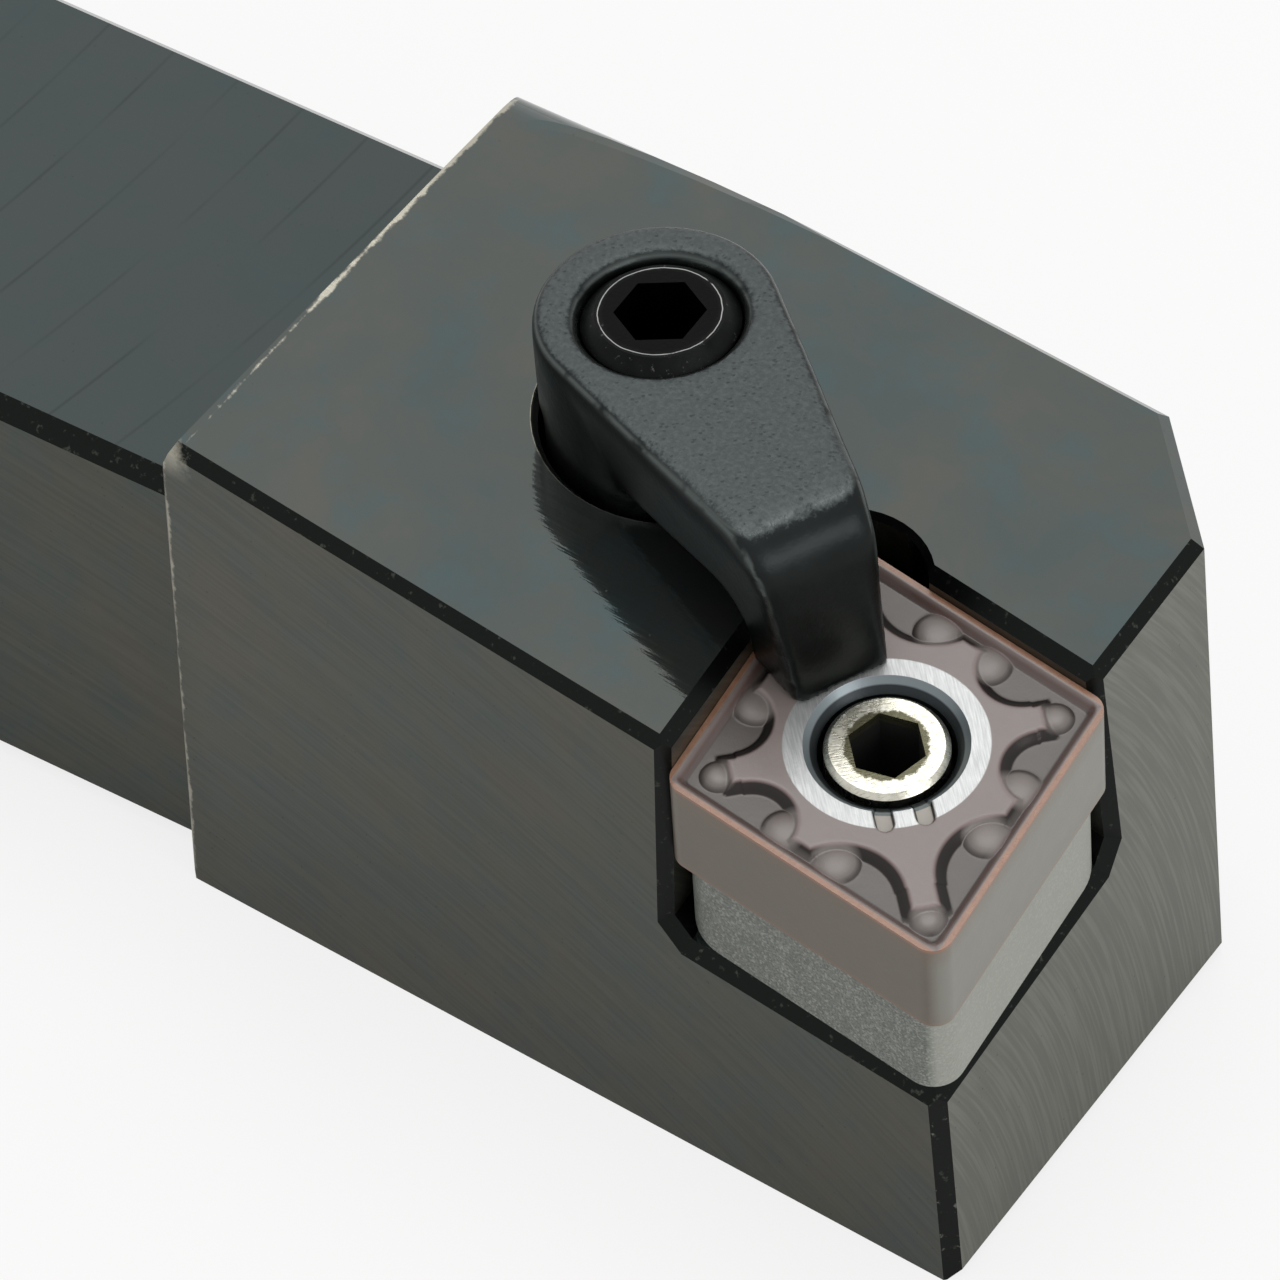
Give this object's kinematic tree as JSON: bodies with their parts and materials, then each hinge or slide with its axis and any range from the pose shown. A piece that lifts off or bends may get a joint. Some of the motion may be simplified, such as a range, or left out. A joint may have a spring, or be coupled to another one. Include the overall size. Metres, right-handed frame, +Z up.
{
  "type": "turning tool holder",
  "caption": "Square-shank external turning tool holder with a clamped 80 degree rhombic indexable insert on a shim, held by a lock pin and a screwed top clamp.",
  "frame": {"origin": "centre of the shank's rear end face", "axes": "+X along the shank towards the cutting tip, +Z up, cutting side towards -Y"},
  "size_m": [0.125, 0.025, 0.0301],
  "materials": {
    "black_oxide_steel": "black oxide over ground steel, satin",
    "cast_black": "black oxide over an investment casting, satin with a fine grain",
    "carbide_coated": "coated hard metal, mauve brown, smooth satin",
    "carbide_bare": "sintered and ground hard metal, fine grained",
    "pin_steel": "bright turned steel",
    "screw_steel": "black oxide screw steel, oily"
  },
  "bodies": {
    "holder": {"holder_body": "black_oxide_steel", "shim": "carbide_bare", "insert": "carbide_coated"},
    "lock_pin": {"lock_pin": "pin_steel"},
    "clamp": {"clamp": "cast_black"},
    "clamp_screw": {"clamp_screw": "screw_steel"}
  },
  "joints": [
    {"name": "lock_pin_turn", "type": "hinge", "parent": "holder", "child": "lock_pin", "pos_m": [0.11817, -0.00817, 0.01145], "axis": [0.104, -0.104, 0.9891], "range_deg": [0, 180]},
    {"name": "clamp_lift", "type": "slide", "parent": "holder", "child": "clamp", "axis": [0, 0, 1], "range_m": [0, 0.004]},
    {"name": "clamp_screw_turn", "type": "hinge", "parent": "clamp", "child": "clamp_screw", "pos_m": [0.10367, -0.00094, 0.02], "axis": [0, 0, 1], "range_deg": [0, 720]}
  ],
  "couplings": [
    {"joint": "clamp_screw_turn", "follows": "clamp_lift", "rad_per_m": 3141.6}
  ]
}
